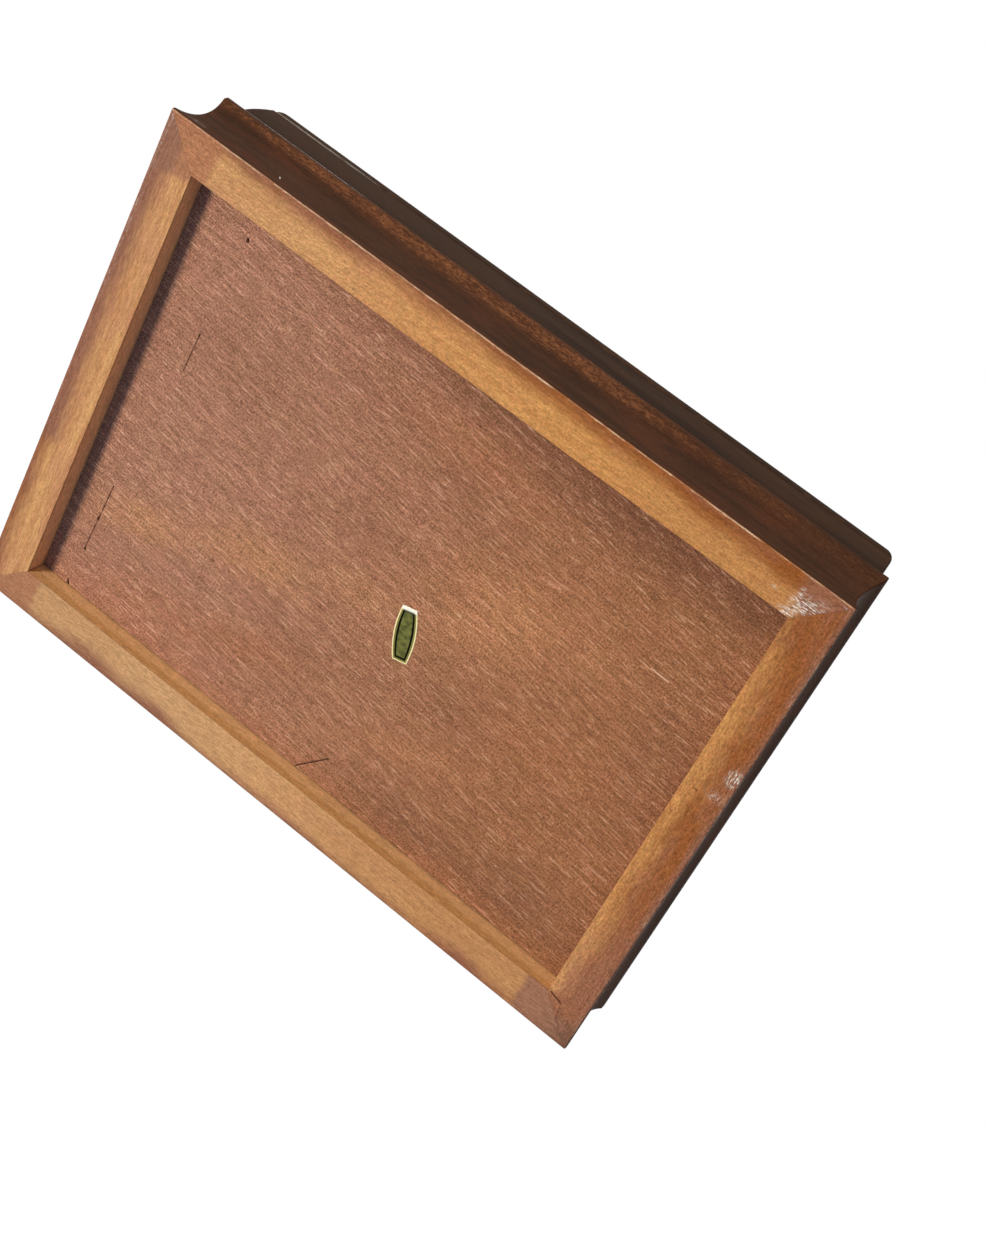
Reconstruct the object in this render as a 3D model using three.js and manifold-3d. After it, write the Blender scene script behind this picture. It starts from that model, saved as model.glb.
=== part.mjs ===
// Wooden card box for two decks of playing cards. Millimetres, +Z up.
// A tray of four mitred mouldings holds a plywood bottom in a groove, 5 mm above the rim that it
// stands on. A divider makes two places for cards. The lid is a mitred frame under a board with a
// rounded edge, and it turns on two brass butt hinges let into the back.
// The origin is the middle of the box at the level of the table. The front is at -Y, the hinges
// at +Y. A distance called an inset is measured inwards from the foot of the tray.

import * as THREE from 'three';
import { mergeVertices } from 'three/addons/utils/BufferGeometryUtils.js';
import Module from 'manifold-3d';

const wasm = await Module();
wasm.setup();

// Tray
const boxLength = 152;
const boxWidth = 112.7;
const railWidth = 8.8;
const trayHeight = 17.6;
const footEase = 0.5;          // rounding of the lower outer edge
const footFace = 1;            // height where the cove starts
const coveDepth = 1.45;        // square to the line from the foot to the top face
const topFace = 1.4;           // height of the upright face above the cove
const topInset = 0.4;
const topEase = 0.3;
const mitreSeam = 0.05;        // half of the glue line, measured along the rail

// Bottom panel, divider, felts and label
const panelRecess = 5.1;
const panelThickness = 3;
const grooveDepth = 3;
const grooveRoom = 0.2;        // above the panel
const panelEdgeRoom = 0.3;
const dividerThickness = 3.2;
const dividerBelowTop = 0.6;
const dadoDepth = 1.5;
const dadoRoom = 0.15;         // round the divider
const feltThickness = 1;
const feltRoom = 0.4;          // between a felt and the walls round it
const labelLength = 11.6;
const labelEndWidth = 3.1;
const labelMiddleWidth = 4.8;
const labelThickness = 0.12;
const labelX = 7.6;
const labelY = 6.7;
const labelTurn = -15;         // degrees about +Z

// Lid
const seamRoom = 0.15;         // between the tray and the closed lid
const lidSetback = 2.3;        // inset of the lid's foot
const lidSideHeight = 12.65;
const lidLean = 1.2;           // how far the side leans in at its top
const lidInnerStep = 0.4;      // the lid's walls stand back from the tray's, inside
const boardThickness = 6;
const boardInset = 3.4;
const boardRound = 5.7;
const boardCorner = 1.5;       // rounding of its upright corners

// Hinges
const hingeFromEnd = 30;       // from each end of the tray to the middle of a hinge
const hingeLength = 18;
const axisOutside = 0.4;       // from the lid's foot out to the hinge axis
const barrelRadius = 1.25;
const barrelRoom = 0.25;
const pinRadius = 0.55;
const pinRoom = 0.15;
const knuckleCount = 5;
const knuckleGap = 0.2;
const leafThickness = 0.6;
const leafWidth = 5.8;         // from the axis to the free edge
const leafRoom = 0.1;          // round the leaf in its mortise
const screwFromEnd = 4;         // from each end of the leaf
const screwFromEdge = 1.9;     // from the free edge of the leaf
const screwLength = 5;
const screwRadius = 0.7;
const screwHeadRadius = 1.35;
const screwRoom = 0.12;

// Levels and places that follow from the sizes
const halfLength = boxLength / 2;
const halfWidth = boxWidth / 2;
const panelTop = panelRecess + panelThickness;
const lidBottom = trayHeight + seamRoom;
const lidSideTop = lidBottom + lidSideHeight;
const axisInset = lidSetback - axisOutside;
const axisY = halfWidth - axisInset;
const hingeX = halfLength - hingeFromEnd;
const axisZ = trayHeight + seamRoom / 2;
const screwX = hingeLength / 2 - screwFromEnd;
const clearOfWood = boxWidth;  // how far a cutting block runs past the wood that it opens

const walnut = { color: 0x4b3228, roughness: 0.42, metalness: 0 };
const plywood = { color: 0x95614c, roughness: 0.62, metalness: 0 };
const brass = { color: 0xb88f45, roughness: 0.3, metalness: 1 };
const greenFelt = { color: 0x27523a, roughness: 0.95, metalness: 0 };
const goldFoil = { color: 0xc9b36a, roughness: 0.35, metalness: 0.6 };

// Solids

function toManifold(geometry) {
  const bare = geometry.clone();
  bare.deleteAttribute('normal');
  bare.deleteAttribute('uv');
  const merged = mergeVertices(bare, 1e-5);
  return new wasm.Manifold(new wasm.Mesh({
    numProp: 3,
    vertProperties: new Float32Array(merged.attributes.position.array),
    triVerts: new Uint32Array(merged.index.array),
  }));
}

function toGeometry(solid) {
  const { vertProperties, triVerts } = solid.getMesh();
  const geometry = new THREE.BufferGeometry();
  geometry.setAttribute('position', new THREE.BufferAttribute(vertProperties, 3));
  geometry.setIndex(new THREE.BufferAttribute(triVerts, 1));
  geometry.computeVertexNormals();
  return geometry;
}

function cutAway(geometry, tools) {
  let solid = toManifold(geometry);
  for (const tool of tools) solid = solid.subtract(toManifold(tool));
  return toGeometry(solid);
}

function joinUp(pieces) {
  let solid = toManifold(pieces[0]);
  for (const piece of pieces.slice(1)) solid = solid.add(toManifold(piece));
  return toGeometry(solid);
}

// A block between two limits on each axis, given in any order.
function block([x0, x1], [y0, y1], [z0, z1]) {
  const geometry = new THREE.BoxGeometry(Math.abs(x1 - x0), Math.abs(y1 - y0), Math.abs(z1 - z0));
  return geometry.translate((x0 + x1) / 2, (y0 + y1) / 2, (z0 + z1) / 2);
}

// A round bar along X, centred on the X axis between x0 and x1.
function barAlongX(radius, x0, x1, sides) {
  const geometry = new THREE.CylinderGeometry(radius, radius, x1 - x0, sides);
  return geometry.rotateZ(-Math.PI / 2).translate((x0 + x1) / 2, 0, 0);
}

// A turned shape about Z, from [radius, height] points that start and end on the axis, going up.
function turned(points, sides) {
  const profile = points.map(([radius, height]) => new THREE.Vector2(radius, height));
  return new THREE.LatheGeometry(profile, sides).rotateX(Math.PI / 2);
}

function named(name, geometry, look) {
  const piece = new THREE.Mesh(geometry, new THREE.MeshStandardMaterial(look));
  piece.name = name;
  return piece;
}

// Mitred rails

// Carries a section along one side of the box. In the section, x is minus the inset and y is the
// height. Each end is cut at 45 degrees, by moving its points back along the rail by their inset.
// The rail is made for the front and then turned to its side: 0 front, 1 right, 2 back, 3 left.
function mitredRail(section, side) {
  const runsAlongX = side % 2 === 0;
  const half = runsAlongX ? halfLength : halfWidth;
  const outwards = runsAlongX ? halfWidth : halfLength;
  const geometry = new THREE.ExtrudeGeometry(section, { depth: 2, bevelEnabled: false, curveSegments: 10 });
  const points = geometry.attributes.position;
  for (let i = 0; i < points.count; i++) {
    const inset = -points.getX(i);
    const end = points.getZ(i) > 1 ? 1 : -1;
    points.setXYZ(i, -end * (half - inset - mitreSeam), inset - outwards, points.getY(i));
  }
  geometry.computeVertexNormals();
  return geometry.rotateZ(side * Math.PI / 2);
}

// Outside: foot, cove, upright top face. Inside: a groove for the panel.
function traySection() {
  const coveTop = trayHeight - topFace;
  const rise = new THREE.Vector2(-topInset, coveTop - footFace);
  const inwards = new THREE.Vector2(-rise.y, rise.x).normalize();
  const pull = new THREE.Vector2(0, footFace).addScaledVector(rise, 0.5).addScaledVector(inwards, 2 * coveDepth);
  const shape = new THREE.Shape();
  shape.moveTo(-railWidth, 0);
  shape.lineTo(-footEase, 0);
  shape.quadraticCurveTo(0, 0, 0, footEase);
  shape.lineTo(0, footFace);
  shape.quadraticCurveTo(pull.x, pull.y, -topInset, coveTop);
  shape.lineTo(-topInset, trayHeight - topEase);
  shape.lineTo(-topInset - topEase, trayHeight);
  shape.lineTo(-railWidth, trayHeight);
  shape.lineTo(-railWidth, panelTop + grooveRoom);
  shape.lineTo(-railWidth + grooveDepth, panelTop + grooveRoom);
  shape.lineTo(-railWidth + grooveDepth, panelRecess);
  shape.lineTo(-railWidth, panelRecess);
  shape.closePath();
  return shape;
}

// The lid's side stands upright at its foot and leans in more and more towards its top.
function lidSection() {
  const inner = -railWidth + lidInnerStep;
  const shape = new THREE.Shape();
  shape.moveTo(inner, lidBottom);
  shape.lineTo(-lidSetback, lidBottom);
  shape.quadraticCurveTo(-lidSetback, lidBottom + lidSideHeight / 2, -lidSetback - lidLean, lidSideTop);
  shape.lineTo(inner, lidSideTop);
  shape.closePath();
  return shape;
}

// The upright slot in a front or back rail that takes one end of the divider.
function dado(side) {
  const half = dividerThickness / 2 + dadoRoom;
  const face = halfWidth - railWidth;
  return block([-half, half], [side * (face - railWidth), side * (face + dadoDepth)], [panelTop, clearOfWood]);
}

// What one hinge takes out of the wood: a shallow pocket for the leaf, a deeper one for the barrel
// that opens at the back, and two pilot holes. Level is -1 in the tray and 1 in the lid.
function mortise(x, level) {
  const half = hingeLength / 2 + leafRoom;
  const barrelDeep = barrelRadius + barrelRoom;
  const leafDeep = seamRoom / 2 + leafThickness + leafRoom;
  const pilotLength = 2 * (screwLength + leafThickness);
  const tools = [
    block([-half, half], [-leafWidth - leafRoom, clearOfWood], [level * leafDeep, -level * barrelDeep]),
    block([-half, half], [-barrelDeep, clearOfWood], [level * barrelDeep, -level * barrelDeep]),
  ];
  for (const end of [-1, 1]) {
    const pilot = new THREE.CylinderGeometry(screwRadius + screwRoom, screwRadius + screwRoom, pilotLength, 12);
    tools.push(pilot.rotateX(Math.PI / 2).translate(end * screwX, screwFromEdge - leafWidth, 0));
  }
  return tools.map((tool) => tool.translate(x, axisY, axisZ));
}

function mortises(level) {
  return [...mortise(-hingeX, level), ...mortise(hingeX, level)];
}

function makeTrayRails() {
  return [
    named('tray_front_rail', cutAway(mitredRail(traySection(), 0), [dado(-1)]), walnut),
    named('tray_right_rail', mitredRail(traySection(), 1), walnut),
    named('tray_back_rail', cutAway(mitredRail(traySection(), 2), [dado(1), ...mortises(-1)]), walnut),
    named('tray_left_rail', mitredRail(traySection(), 3), walnut),
  ];
}

function makeLidRails() {
  return [
    named('lid_front_rail', mitredRail(lidSection(), 0), walnut),
    named('lid_right_rail', mitredRail(lidSection(), 1), walnut),
    named('lid_back_rail', cutAway(mitredRail(lidSection(), 2), mortises(1)), walnut),
    named('lid_left_rail', mitredRail(lidSection(), 3), walnut),
  ];
}

// Flat pieces inside and under the tray

function makeBottomPanel() {
  const inset = railWidth - grooveDepth + panelEdgeRoom;
  const x = halfLength - inset;
  const y = halfWidth - inset;
  return named('bottom_panel', block([-x, x], [-y, y], [panelRecess, panelTop]), plywood);
}

function makeDivider() {
  const x = dividerThickness / 2;
  const y = halfWidth - railWidth + dadoDepth - dadoRoom;
  return named('divider', block([-x, x], [-y, y], [panelTop, trayHeight - dividerBelowTop]), walnut);
}

function makeFelt(name, side) {
  const inner = side * (dividerThickness / 2 + feltRoom);
  const outer = side * (halfLength - railWidth - feltRoom);
  const y = halfWidth - railWidth - feltRoom;
  return named(name, block([inner, outer], [-y, y], [panelTop, panelTop + feltThickness]), greenFelt);
}

// A foil label under the panel: straight ends and sides that bow out like a barrel's.
function makeLabel() {
  const end = labelEndWidth / 2;
  const bow = labelMiddleWidth - end;
  const half = labelLength / 2;
  const shape = new THREE.Shape();
  shape.moveTo(-end, -half);
  shape.lineTo(end, -half);
  shape.quadraticCurveTo(bow, 0, end, half);
  shape.lineTo(-end, half);
  shape.quadraticCurveTo(-bow, 0, -end, -half);
  const geometry = new THREE.ExtrudeGeometry(shape, { depth: labelThickness, bevelEnabled: false, curveSegments: 12 });
  const label = named('foil_label', geometry, goldFoil);
  label.position.set(labelX, labelY, panelRecess - labelThickness);
  label.rotation.z = THREE.MathUtils.degToRad(labelTurn);
  return label;
}

// Lid board

// The outline of the board at one inset, with a few points round each corner.
function boardOutline(inset, z) {
  const ring = [];
  const steps = 4;
  const x = halfLength - inset - boardCorner;
  const y = halfWidth - inset - boardCorner;
  for (const [sx, sy, start] of [[1, 1, 0], [-1, 1, 1], [-1, -1, 2], [1, -1, 3]]) {
    for (let i = 0; i <= steps; i++) {
      const turn = (start + i / steps) * Math.PI / 2;
      ring.push([sx * x + boardCorner * Math.cos(turn), sy * y + boardCorner * Math.sin(turn), z]);
    }
  }
  return ring;
}

// Joins rings of equal length from the bottom up, and closes both ends with a fan.
function stackRings(rings) {
  const points = rings.flat();
  const count = rings[0].length;
  const faces = [];
  for (let r = 0; r + 1 < rings.length; r++) {
    for (let i = 0; i < count; i++) {
      const a = r * count + i;
      const b = r * count + (i + 1) % count;
      faces.push(a, b, b + count, a, b + count, a + count);
    }
  }
  const last = (rings.length - 1) * count;
  const bottomCentre = points.push([0, 0, rings[0][0][2]]) - 1;
  const topCentre = points.push([0, 0, rings.at(-1)[0][2]]) - 1;
  for (let i = 0; i < count; i++) {
    const next = (i + 1) % count;
    faces.push(bottomCentre, next, i, topCentre, last + i, last + next);
  }
  const geometry = new THREE.BufferGeometry();
  geometry.setAttribute('position', new THREE.Float32BufferAttribute(points.flat(), 3));
  geometry.setIndex(faces);
  geometry.computeVertexNormals();
  return geometry;
}

// The board's edge goes up a little and then round in a quarter circle to the top.
function makeBoard() {
  const steps = 10;
  const top = lidSideTop + boardThickness;
  const rings = [boardOutline(boardInset, lidSideTop)];
  for (let i = 0; i <= steps; i++) {
    const turn = i / steps * Math.PI / 2;
    const inset = boardInset + boardRound * (1 - Math.cos(turn));
    rings.push(boardOutline(inset, top - boardRound * (1 - Math.sin(turn))));
  }
  return named('lid_board', stackRings(rings), walnut);
}

// Butt hinges, each in its own frame: X along the pin, Y out of the box, Z up

// A leaf is a plate with every other knuckle of the barrel, bored for the pin and countersunk for
// two screws. The tray's leaf (level -1) has the knuckles at both ends.
function leafGeometry(level) {
  const pitch = hingeLength / knuckleCount;
  const face = level * seamRoom / 2;
  const back = face + level * leafThickness;
  const half = hingeLength / 2;
  const plateStart = -barrelRadius - barrelRoom;
  const pieces = [block([-half, half], [-leafWidth, plateStart], [face, back])];
  for (let i = level > 0 ? 1 : 0; i < knuckleCount; i += 2) {
    const x0 = i * pitch - half + (i > 0 ? knuckleGap / 2 : 0);
    const x1 = (i + 1) * pitch - half - (i < knuckleCount - 1 ? knuckleGap / 2 : 0);
    pieces.push(barAlongX(barrelRadius, x0, x1, 24));
    pieces.push(block([x0, x1], [plateStart - barrelRoom, 0], [face, back]));
  }
  const tools = [barAlongX(pinRadius + pinRoom, -hingeLength, hingeLength, 16)];
  for (const end of [-1, 1]) {
    const x = end * screwX;
    tools.push(countersink().rotateX(level > 0 ? 0 : Math.PI).translate(x, screwFromEdge - leafWidth, face));
  }
  return cutAway(joinUp(pieces), tools);
}

// Room for a screw whose head lies in the face at height 0 and whose shank goes up.
function countersink() {
  const hole = screwRadius + screwRoom;
  const mouth = screwHeadRadius + screwRoom;
  return turned([[0, -hole], [mouth, -hole], [mouth, 0], [hole, leafThickness], [hole, 2 * leafThickness],
    [0, 2 * leafThickness]], 20);
}

// A countersunk screw. The head lies in the face of the leaf, and the point is away from it.
function makeScrew(name, end, level) {
  const profile = [[0, 0], [screwHeadRadius, 0], [screwRadius, leafThickness],
    [screwRadius, screwLength - 2 * screwRadius], [0, screwLength]];
  const geometry = turned(profile, 16).rotateX(level > 0 ? 0 : Math.PI);
  geometry.translate(end * screwX, screwFromEdge - leafWidth, level * seamRoom / 2);
  return named(name, geometry, brass);
}

function makeHinge(name, x) {
  const half = hingeLength / 2;
  const trayPieces = [
    named(`${name}_tray_leaf`, leafGeometry(-1), brass),
    named(`${name}_pin`, barAlongX(pinRadius, -half, half, 16), brass),
    makeScrew(`${name}_tray_screw_1`, -1, -1),
    makeScrew(`${name}_tray_screw_2`, 1, -1),
  ];
  const lidPieces = [
    named(`${name}_lid_leaf`, leafGeometry(1), brass),
    makeScrew(`${name}_lid_screw_1`, -1, 1),
    makeScrew(`${name}_lid_screw_2`, 1, 1),
  ];
  for (const piece of [...trayPieces, ...lidPieces]) piece.position.set(x, axisY, axisZ);
  return { trayPieces, lidPieces };
}

// The whole box

const leftHinge = makeHinge('left_hinge', -hingeX);
const rightHinge = makeHinge('right_hinge', hingeX);

const tray = new THREE.Group();
tray.add(...makeTrayRails(), makeBottomPanel(), makeDivider());
tray.add(makeFelt('left_felt', -1), makeFelt('right_felt', 1), makeLabel());
tray.add(...leftHinge.trayPieces, ...rightHinge.trayPieces);

const lid = new THREE.Group();
lid.add(...makeLidRails(), makeBoard());
lid.add(...leftHinge.lidPieces, ...rightHinge.lidPieces);

const cardBox = new THREE.Group();
cardBox.add(tray, lid);

export default cardBox;
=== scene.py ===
import math

import bmesh
import bpy
import numpy as np
from mathutils import Euler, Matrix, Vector


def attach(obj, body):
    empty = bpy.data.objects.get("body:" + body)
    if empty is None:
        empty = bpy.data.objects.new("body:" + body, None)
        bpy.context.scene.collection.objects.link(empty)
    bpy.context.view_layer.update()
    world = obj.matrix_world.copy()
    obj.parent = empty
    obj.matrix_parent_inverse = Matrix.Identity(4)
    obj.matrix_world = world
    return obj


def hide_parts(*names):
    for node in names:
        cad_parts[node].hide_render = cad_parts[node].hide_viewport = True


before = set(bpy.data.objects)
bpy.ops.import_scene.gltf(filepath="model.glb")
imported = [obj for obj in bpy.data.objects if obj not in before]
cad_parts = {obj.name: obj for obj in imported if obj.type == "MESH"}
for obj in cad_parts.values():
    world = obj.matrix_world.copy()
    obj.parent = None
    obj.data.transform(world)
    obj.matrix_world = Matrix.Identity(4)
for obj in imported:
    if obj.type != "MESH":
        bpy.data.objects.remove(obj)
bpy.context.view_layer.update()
scene = bpy.context.scene
scene.view_settings.view_transform = "Standard"
mm = 0.001

# Sizes of the box in millimetres, as packed. An inset is measured inwards from the tray's foot.
box = {
    "halfLength": 76.0,
    "halfWidth": 56.35,
    "railWidth": 8.8,
    "trayHeight": 17.6,
    "panelRecess": 5.1,
    "panelTop": 8.1,
    "lidBottom": 17.75,
    "lidSideTop": 30.4,
    "lidTop": 36.4,
    "hingeX": 46.0,
    "axisZ": 17.675,
}
print("frame loaded:", len(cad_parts), "nodes")


# Small helpers for shapes.

# Rises from 0 to 1 between two limits, level at both ends; the limits may be given falling.
def smooth(low, high, value):
    t = np.clip((value - low) / (high - low), 0, 1)
    return t * t * (3 - 2 * t)


# A round ridge of height 1, and a round hill of height 1 with its own width each way.
def ridge(x, middle, width):
    return np.exp(-((x - middle) / width) ** 2)


def hill(x, y, centre, widths):
    return ridge(x, centre[0], widths[0]) * ridge(y, centre[1], widths[1])


# Points of a curve from start to end that is pulled towards a third point.
def curve(start, pull, end, t):
    return (1 - t) ** 2 * start + 2 * t * (1 - t) * pull + t * t * end


def turned(x, y, degrees):
    c, s = math.cos(math.radians(degrees)), math.sin(math.radians(degrees))
    return x * c - y * s, x * s + y * c


# A closed outline of corners: x, y, reach of the rounding, and spacing of the points up to the next corner.
def roundedOutline(corners, steps=4):
    spots = [np.array(corner[:2], float) for corner in corners]
    outline = []
    for i, spot in enumerate(spots):
        following = (i + 1) % len(spots)
        before, after = spots[i - 1], spots[following]
        reach, spacing = corners[i][2:]
        toAfter = (after - spot) / np.linalg.norm(after - spot)
        end = spot + toAfter * reach
        if reach > 0:
            start = spot + (before - spot) / np.linalg.norm(before - spot) * reach
            outline.append(curve(start, spot, end, np.linspace(0, 1, steps + 1)[:, None]))
        else:
            outline.append(spot[None])
        run = after - toAfter * corners[following][2] - end
        count = int(np.linalg.norm(run) // spacing)
        if count > 1:
            outline.append(end + run * np.linspace(0, 1, count + 1)[1:-1, None])
    return np.concatenate(outline)


# Four corners for each cell of a grid of rows x columns. A wrapped grid joins its last column to its first.
def gridFaces(rows, columns, wrapped=False):
    r = np.arange(rows - 1)[:, None]
    c = np.arange(columns if wrapped else columns - 1)[None, :]
    n = (c + 1) % columns
    cells = np.stack([r * columns + c, r * columns + n, (r + 1) * columns + n, (r + 1) * columns + c], -1)
    return cells.reshape(-1, 4).tolist()


# A closed body from rings of points: walls between the rings, and one face at each end.
def ringBody(rings):
    rows, columns = rings.shape[:2]
    faces = gridFaces(rows, columns, wrapped=True)
    faces.append(list(range(columns))[::-1])
    faces.append(list(range((rows - 1) * columns, rows * columns)))
    return rings.reshape(-1, 3), faces


# A closed body from a grid of points and copies of its border, each with a scale and a level, the last of
# which is closed by one face.
def gridBody(x, y, z, steps):
    rows, columns = x.shape
    number = np.arange(rows * columns).reshape(rows, columns)
    last = np.concatenate([number[0, ::-1], number[1:, 0], number[-1, 1:], number[1:-1, -1][::-1]])
    parts = [np.stack([x, y, z], -1).reshape(-1, 3)]
    border = parts[0][last]
    faces = gridFaces(rows, columns)
    for i, (scale, level) in enumerate(steps):
        now = rows * columns + i * len(border) + np.arange(len(border))
        faces += np.stack([last, np.roll(last, -1), np.roll(now, -1), now], -1).tolist()
        parts.append(border * [scale, scale, 0] + [0, 0, level])
        last = now
    faces.append(last.tolist())
    return np.concatenate(parts), faces


def addObject(name, data):
    item = bpy.data.objects.new(name, data)
    scene.collection.objects.link(item)
    return item


# Joins points that fall together, drops faces without area and makes the faces point outwards.
def cleanUp(mesh, outwards=True):
    work = bmesh.new()
    work.from_mesh(mesh)
    bmesh.ops.remove_doubles(work, verts=work.verts, dist=2e-6)
    bmesh.ops.dissolve_degenerate(work, edges=work.edges, dist=1e-6)
    if outwards:
        bmesh.ops.recalc_face_normals(work, faces=work.faces)
    work.to_mesh(mesh)
    work.free()
    mesh.update()


def shadeSmooth(mesh, sharpAngle):
    mesh.shade_smooth()
    mesh.set_sharp_from_angle(angle=math.radians(sharpAngle))


# A mesh from points in millimetres. Marks are numbers or vectors at the points, which the finishes read.
def makePiece(name, points, faces, marks=None, sharpAngle=38, outwards=True):
    mesh = bpy.data.meshes.new(name)
    mesh.from_pydata((np.asarray(points) * mm).tolist(), [], faces)
    for key, values in (marks or {}).items():
        values = np.asarray(values, np.float32)
        isVector = values.ndim == 2
        layer = mesh.attributes.new(key, "FLOAT_VECTOR" if isVector else "FLOAT", "POINT")
        layer.data.foreach_set("vector" if isVector else "value", values.ravel())
    mesh.update()
    shadeSmooth(mesh, sharpAngle)
    cleanUp(mesh, outwards)
    return addObject(name, mesh)


def useFinish(piece, finish, body, node):
    piece.data.materials.clear()
    piece.data.materials.append(finish)
    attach(piece, body)
    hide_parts(node)


# Small helpers for finishes.

# A screen colour, 0 to 255, as the linear values that a shader takes.
def colour(red, green, blue):
    screen = np.array([red, green, blue]) / 255
    linear = np.where(screen <= 0.04045, screen / 12.92, ((screen + 0.055) / 1.055) ** 2.4)
    return (*linear.tolist(), 1.0)


# Adds nodes to a tree. Most of its functions give back a socket, to be fed to other nodes.
class Nodes:
    def __init__(self, tree):
        self.tree = tree
        self.known = {}

    # Sockets among the values are linked, and other values are set.
    def feed(self, node, values):
        for key, value in values.items():
            if isinstance(value, bpy.types.NodeSocket):
                self.tree.links.new(value, node.inputs[key])
            else:
                node.inputs[key].default_value = value

    def add(self, kind, values=None, **settings):
        node = self.tree.nodes.new("ShaderNode" + kind)
        for key, value in settings.items():
            setattr(node, key, value)
        self.feed(node, values or {})
        return node

    # A number carried from one range into another, with level ends.
    def soften(self, value, low, high, start=0.0, end=1.0):
        values = {"Value": value, "From Min": low, "From Max": high, "To Min": start, "To Max": end}
        return self.add("MapRange", values, interpolation_type="SMOOTHSTEP").outputs[0]

    # An item is a number, a socket, the name of a known value or of a mark, or a tuple of one of these and
    # what it is softened with.
    def value(self, item):
        if isinstance(item, str):
            return self.known[item] if item in self.known else self.mark(item)
        return self.soften(self.value(item[0]), *item[1:]) if isinstance(item, tuple) else item

    def mark(self, name, output="Fac"):
        return self.add("Attribute", attribute_name=name).outputs[output]

    def calc(self, operation, *items):
        values = dict(enumerate(self.value(item) for item in items))
        return self.add("Math", values, operation=operation).outputs[0]

    # The product of some items, or 1 without any.
    def times(self, first=1.0, *others):
        product = self.value(first)
        for other in others:
            product = self.calc("MULTIPLY", product, other)
        return product

    def timesPlus(self, first, second, third):
        return self.calc("MULTIPLY_ADD", first, second, third)

    def mix(self, amount, first, second, mode="MIX"):
        values = {0: amount, 6: first, 7: second}
        return self.add("Mix", values, data_type="RGBA", blend_type=mode).outputs[2]


# One material. Its patterns are cloudy noise: size in millimetres each way, detail, roughness and seed. With
# a drift they follow the marked grain, and slow drifts of that size and reach make its lines wander.
class Finish(Nodes):
    def __init__(self, name, settings, seed=0):
        self.material = bpy.data.materials.new(name)
        self.material.use_nodes = True
        super().__init__(self.material.node_tree)
        self.settings, self.seed = settings, seed
        place = self.wander(*settings["drift"]) if "drift" in settings else self.spot()
        self.known = {key: self.clouds(place, *value) for key, value in settings["patterns"].items()}

    def spot(self):
        return self.add("TexCoord").outputs["Object"]

    def split(self, place):
        return self.add("SeparateXYZ", {"Vector": place}).outputs

    def wander(self, size, reach):
        grain = self.mark("grain", "Vector")
        noise = self.add("TexNoise", {"Vector": grain, "Scale": 1 / (size * mm), "Detail": 2.0})
        values = {0: noise.outputs["Color"], 1: [r * mm for r in reach], 2: grain}
        return self.add("VectorMath", values, operation="MULTIPLY_ADD").outputs[0]

    def clouds(self, place, size, detail, roughness, seed):
        seed += self.seed
        spread = {"Vector": place, "Scale": [1 / (s * mm) for s in size]}
        spread["Location"] = (seed, seed * 1.7, seed * 0.6)
        values = {"Scale": 1.0, "Detail": detail, "Roughness": roughness}
        values["Vector"] = self.add("Mapping", spread).outputs[0]
        return self.add("TexNoise", values).outputs["Fac"]

    # A screen colour, what a list of layers shows, or a value as a grey.
    def paint(self, item):
        if isinstance(item, list):
            return self.stack(*item)
        return self.value(item) if isinstance(item[0], str) else colour(*item)

    # What shows after a list of layers: a plain paint, and then paints with the factors of their amounts. A
    # paint after the word "shade" multiplies what shows instead of covering it.
    def stack(self, base, *layers):
        shown = self.paint(base)
        for layer in layers:
            shades = layer[0] == "shade"
            paint, *factors = layer[1:] if shades else layer
            shown = self.mix(self.times(*factors), shown, self.paint(paint), "MULTIPLY" if shades else "MIX")
        return shown

    # Joins layers, bumps and other values to the shader. A bump is an item, a height in millimetres and a
    # strength, and it lies on the one before it.
    def close(self, layers):
        values = {key: self.value(item) for key, item in self.settings["shader"].items()}
        values["Base Color"] = self.stack(*layers)
        for item, height, strength in self.settings["bumps"]:
            bump = {"Height": self.value(item), "Distance": height * mm, "Strength": strength}
            if "Normal" in values:
                bump["Normal"] = values["Normal"]
            values["Normal"] = self.add("Bump", bump).outputs[0]
        self.feed(self.tree.nodes["Principled BSDF"], values)
        return self.material


# The camera looks up at the box from below its front left, with the right side close to edge-on.
camera = {
    "place": (0.1200199, -0.2432093, -0.3553032),
    "turn": (158.69172, -28.75687, -28.07716),
    "lens": 70.6366,
    "sensor": 36,
    "clip": 0.005,
}
cameraData = bpy.data.cameras.new("camera")
cameraData.lens = camera["lens"]
cameraData.sensor_width = camera["sensor"]
cameraData.clip_start = camera["clip"]
scene.camera = addObject("camera", cameraData)
scene.camera.location = camera["place"]
scene.camera.rotation_euler = Euler([math.radians(a) for a in camera["turn"]], "XYZ")


# Light, floor and background.

light = {
    "fill": (0.235, 0.265, 0.32, 1),
    "background": (1.0, 1.0, 1.0, 1),
    "suns": {
        # direction towards the lamp, strength as a share of full light, width of the lamp in degrees, colour
        "keyFromBelow": ((-0.46, -0.35, -0.84), 0.93, 16, (1.0, 0.955, 0.89)),
        "softFromAbove": ((-0.35, -0.55, 0.76), 0.62, 35, (1.0, 0.975, 0.93)),
        "softFromBehind": ((0.45, 0.6, 0.66), 0.32, 50, (0.985, 0.99, 1.0)),
    },
    "floorColour": (251, 247, 242),
    "floorSize": 24000.0,
    "floorDrop": 0.02,
    "paperEnds": 220.0,
    "whiteStarts": 1100.0,
}


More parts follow.
